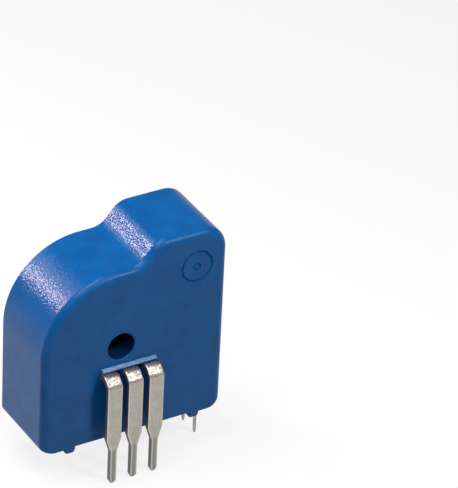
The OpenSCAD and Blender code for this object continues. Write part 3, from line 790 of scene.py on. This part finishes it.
q = pinUse
offAxis = 0.0001  # keeps the legs' side from being zero
pins = makeTerminals("signalPins", [(0, offAxis, q["low"]), (0, offAxis, q["top"])],
                     {"Thickness": q["width"] * mm, "Width": q["thickness"] * mm, "Edge radius": q["edgeR"] * mm,
                      "Bend radius": 0.0, "Sample step": q["step"] * mm, "Shoulder height": 1.0 * mm,
                      "Foot height": 0.0, "Foot share": 1.0, "Lowest point": q["low"] * mm,
                      "Tip length": q["tip"] * mm, "Tip share": q["tipShare"], "Leg distance": 0.0,
                      "Leg place": 0.0, "Count": 3,
                      "First place": (q["x"] * mm, (q["back"] - q["pitch"]) * mm, 0),
                      "Spacing": (0, q["pitch"] * mm, 0)}, looks["pin"])
finishPiece(pins, looks["pin"], "signal_pin", "output_pin", "ground_pin", "supply_pin")


# cured resin: a skin with a raised rim over the back, and a rough fill in the pin slot
resinUse = {"level": 4.52, "root": 4.42, "rise": 0.17, "reach": 0.40, "ripple": 0.05, "overlap": 0.03,
            "spacing": 0.24, "seed": 11}
slotFill = {"left": 9.52, "right": 10.86, "front": -3.5, "back": 4.5, "level": 0.64, "root": 0.80,
            "deep": 0.17, "lump": 0.42, "spacing": 0.13, "seed": 12}


def splitLoop(loop, step):
    # the same loop with no side longer than step
    found = []
    for i, (ax, ay) in enumerate(loop):
        bx, by = loop[(i + 1) % len(loop)]
        parts = max(1, math.ceil(math.hypot(bx - ax, by - ay) / step))
        found += [(ax + (bx - ax) * k / parts, ay + (by - ay) * k / parts) for k in range(parts)]
    return found


def edgeDistance(spots, loops):
    # how far each spot is from the nearest side of the loops
    near = np.full(len(spots), 1e9)
    for loop in loops:
        ends = np.array(loop)
        for (ax, ay), (bx, by) in zip(ends, np.roll(ends, -1, axis=0)):
            ux, uy = bx - ax, by - ay
            t = ((spots[:, 0] - ax) * ux + (spots[:, 1] - ay) * uy) / max(ux * ux + uy * uy, 1e-12)
            t = np.clip(t, 0, 1)
            near = np.minimum(near, np.hypot(spots[:, 0] - ax - t * ux, spots[:, 1] - ay - t * uy))
    return near


def insideLoops(spots, loops):
    # inside the first loop and outside the others: an odd number of crossings
    odd = np.zeros(len(spots), bool)
    for loop in loops:
        ends = np.array(loop)
        for (ax, ay), (bx, by) in zip(ends, np.roll(ends, -1, axis=0)):
            across = (ay > spots[:, 1]) != (by > spots[:, 1])
            if across.any():
                odd ^= across & (spots[:, 0] < ax + (spots[:, 1] - ay) / (by - ay + 1e-15) * (bx - ax))
    return odd


def filledSheet(name, loops, spacing, seed, place, root):
    # a closed sheet over the loops: place gives the outer face at a spot, root the inner one
    chance = np.random.default_rng(seed)
    loops = [splitLoop(loop, spacing) for loop in loops]
    low, high = np.min(loops[0], axis=0), np.max(loops[0], axis=0)
    across, up = np.meshgrid(np.arange(low[0], high[0], spacing), np.arange(low[1], high[1], spacing * 0.866))
    across = across + (np.arange(across.shape[0]) % 2 * spacing / 2)[:, None]
    spots = np.stack([across.ravel(), up.ravel()], 1) + chance.uniform(-0.18, 0.18, (across.size, 2)) * spacing
    spots = spots[insideLoops(spots, loops)]
    spots = spots[edgeDistance(spots, loops) > spacing * 0.45]
    corners, sides = [], []
    for loop in loops:
        start = len(corners)
        corners += loop
        sides += [(start + i, start + (i + 1) % len(loop)) for i in range(len(loop))]
    found = delaunay_2d_cdt([Vector(c) for c in corners] + [Vector(c) for c in spots], sides, [], 0, 1e-6)
    flat = np.array([tuple(v) for v in found[0]])
    tris = np.array(found[2])
    tris = tris[insideLoops(flat[tris].mean(axis=1), loops)]
    near = edgeDistance(flat, loops)
    count = len(flat)
    points = [place(x, y, d) for (x, y), d in zip(flat, near)] + [root(x, y) for x, y in flat]
    faces = [tuple(int(i) for i in t) for t in tris] + [tuple(int(i) + count for i in t[::-1]) for t in tris]
    used = {}
    for t in tris:
        for i in range(3):
            used[(int(t[i]), int(t[(i + 1) % 3]))] = True
    faces += [(j, i, i + count, j + count) for i, j in used if (j, i) not in used]
    return smoothShade(outwards(newObject(name, meshFrom(name, points, faces))), 50)


def makeResinSkin():
    u, h, t, d = resinUse, housing, holeUse, ductUse
    tube = t["radius"] + t["tubeWall"] - u["overlap"]
    across, low = d["halfWidth"] + d["wall"] - u["overlap"], d["low"] - d["wall"] + u["overlap"]
    high = d["high"] + d["roof"] - u["overlap"]
    # the tube and the duct run into each other, so the resin goes round both in one loop
    start = math.asin((high - t["z"]) / tube)
    ring = [(t["x"] + tube * math.cos(a), t["z"] + tube * math.sin(a))
            for a in np.linspace(start, math.pi - start, 40)]
    inner = [(-across, low), (across, low), (across, high)] + ring + [(-across, high)]

    def place(x, z, near):
        climb = u["rise"] * math.exp(-near / u["reach"])
        ripple = u["ripple"] * noise.noise(Vector((x * 0.35, 3.1, z * 0.35))) * min(1, near / 0.8)
        return (x, u["level"] + climb + max(ripple, -0.01), z)

    outer = housingOutline(h["wall"] - 0.02, h["wall"] - 0.02)
    return filledSheet("resinSkin", [outer, inner], u["spacing"], u["seed"], place, lambda x, z: (x, u["root"], z))


def makeSlotFill():
    u, q = slotFill, pinUse
    edge = [(u["left"], u["front"]), (u["right"], u["front"]), (u["right"], u["back"]), (u["left"], u["back"])]
    middle = (u["left"] + u["right"]) / 2
    pinRows = [q["back"] + k * q["pitch"] for k in (-1, 0, 1)]

    def place(x, y, near):
        lumps = 0.5 + 0.9 * noise.noise(Vector((x * 1.9, y * 1.9, 0.4)))
        lumps += 0.5 * noise.noise(Vector((x * 4.1, y * 4.1, 7.3)))
        collar = sum(math.exp(-(math.hypot(x - q["x"], y - row) / u["lump"]) ** 2) for row in pinRows)
        ridge = math.exp(-((x - middle) / u["lump"]) ** 2)
        deep = u["deep"] * (max(0, lumps) * ridge + 0.7 * collar) * min(1, near / 0.3)
        return (x, y, u["level"] - deep)

    return filledSheet("slotResin", [edge], u["spacing"], u["seed"], place, lambda x, y: (x, y, u["root"]))


finishPiece(makeResinSkin(), looks["resin"], "potting")
finishPiece(makeSlotFill(), looks["resin"], "potting")


# floor, studio light and camera; a lamp is (name, direction, distance, size, power, colour)
studio = {"floorZ": -4.12, "floorHalf": 1500, "floorColour": (0.26, 0.26, 0.26, 1), "floorGlow": 0.80,
          "floorMirrored": 0.70, "worldLight": 0.06, "wallLow": -0.03, "wallHigh": 0.28, "wallBright": 0.55,
          "wallDim": 0.13,
          "lamps": [("keyLamp", (0.33, -0.64, 0.70), 160, (34, 34), 0.078, (1.0, 0.98, 0.95)),
                    ("rimLamp", (-0.565, 0.717, 0.41), 160, (26, 26), 0.080, (1.0, 0.80, 0.82)),
                    ("edgeLamp", (-0.31, -0.56, 0.74), 160, (14, 14), 0.027, (1.0, 0.97, 0.96)),
                    ("glowLamp", (-0.42, 0.717, 0.53), 160, (60, 50), 0.038, (1.0, 0.86, 0.88)),
                    ("topLamp", (-0.28, -0.02, 1.0), 170, (100, 100), 0.152, (0.95, 0.98, 1.0))]}


def makeFloor():
    half, low = studio["floorHalf"], studio["floorZ"]
    corners = [(-half, -half, low), (half, -half, low), (half, half, low), (-half, half, low)]
    floor = newObject("studioFloor", meshFrom("studioFloor", corners, [(0, 1, 2, 3)]))
    p = Paint(bpy.data.materials.new("paleFloor"), shader=None)
    mirrored = p.node("LightPath", out="Is Glossy Ray") + p.node("LightPath", out="Is Transmission Ray")
    seen = p.node("Math", {"operation": "ADD", "use_clamp": True},
                  {0: mirrored * studio["floorMirrored"], 1: p.node("LightPath", out="Is Camera Ray")})
    matt = p.node("BsdfDiffuse", {}, {"Color": studio["floorColour"]})
    glow = p.node("Emission", {}, {"Color": (1, 1, 1, 1), "Strength": seen * studio["floorGlow"]})
    mix = p.node("AddShader", {}, {0: matt, 1: glow})
    p.tree.links.new(mix.socket, p.output.inputs[0])
    floor.data.materials.append(p.owner)


def makeWorld():
    # a soft light of its own, and a wall that only the camera and the reflections see
    world = bpy.data.worlds.new("studioWorld")
    scene.world = world
    p = Paint(world, shader=None)
    seen = p.node("LightPath", out="Is Camera Ray") + p.node("LightPath", out="Is Glossy Ray")
    seen = p.node("Math", {"operation": "ADD", "use_clamp": True},
                  {0: seen, 1: p.node("LightPath", out="Is Transmission Ray")})
    high = p.node("SeparateXYZ", {}, {0: p.node("TexCoord", out="Generated")}, out=2)
    wall = p.node("MapRange", {}, {0: high, 1: studio["wallLow"], 2: studio["wallHigh"],
                                   3: studio["wallBright"], 4: studio["wallDim"]})
    light = p.node("Background", {}, {"Color": (0.93, 0.96, 1, 1), "Strength": studio["worldLight"]})
    shown = p.node("Background", {}, {"Color": (0.92, 0.96, 1, 1), "Strength": wall})
    mix = p.node("MixShader", {}, {0: seen, 1: light, 2: shown})
    p.tree.links.new(mix.socket, p.output.inputs[0])


def addLamp(name, towards, distance, size, power, colour):
    # an area lamp that looks at the part's middle from the given direction
    lamp = bpy.data.lights.new(name, "AREA")
    lamp.shape, lamp.size, lamp.size_y = "RECTANGLE", size[0] * mm, size[1] * mm
    lamp.energy, lamp.color = power, colour
    item = bpy.data.objects.new(name, lamp)
    scene.collection.objects.link(item)
    direction = Vector(towards).normalized()
    item.location = Vector((0.7, 0, 11)) * mm + direction * distance * mm
    item.rotation_euler = direction.to_track_quat("Z", "Y").to_euler()


makeFloor()
makeWorld()
for lamp in studio["lamps"]:
    addLamp(*lamp)
print("floor and lamps ready:", len(studio["lamps"]), "lamps")

view = {"azimuth": -31.5952, "elevation": 32.639, "roll": 2.9219, "distance": 432.5675, "right": -12.6485,
        "down": 10.0318, "focalPixels": 3983.7732, "target": (0.77, 0.25, 10.0), "imageWidth": 458}


def makeCamera():
    a, e, roll = (math.radians(view[k]) for k in ("azimuth", "elevation", "roll"))
    ahead = -Vector((math.sin(a) * math.cos(e), -math.cos(a) * math.cos(e), math.sin(e)))
    level = ahead.cross(Vector((0, 0, 1))).normalized()
    upright = level.cross(ahead)
    right = level * math.cos(roll) + upright * math.sin(roll)
    up = upright * math.cos(roll) - level * math.sin(roll)
    place = Vector(view["target"]) - right * view["right"] + up * view["down"] - ahead * view["distance"]
    data = bpy.data.cameras.new("photoCamera")
    data.sensor_fit, data.sensor_width = "HORIZONTAL", 36
    data.lens = view["focalPixels"] * 36 / view["imageWidth"]
    data.clip_start, data.clip_end = 0.01, 20
    item = bpy.data.objects.new("photoCamera", data)
    scene.collection.objects.link(item)
    item.matrix_world = Matrix((
        (right.x, up.x, -ahead.x, place.x * mm), (right.y, up.y, -ahead.y, place.y * mm),
        (right.z, up.z, -ahead.z, place.z * mm), (0, 0, 0, 1)))
    scene.camera = item


makeCamera()
scene.view_settings.view_transform = "Standard"
bpy.context.view_layer.update()
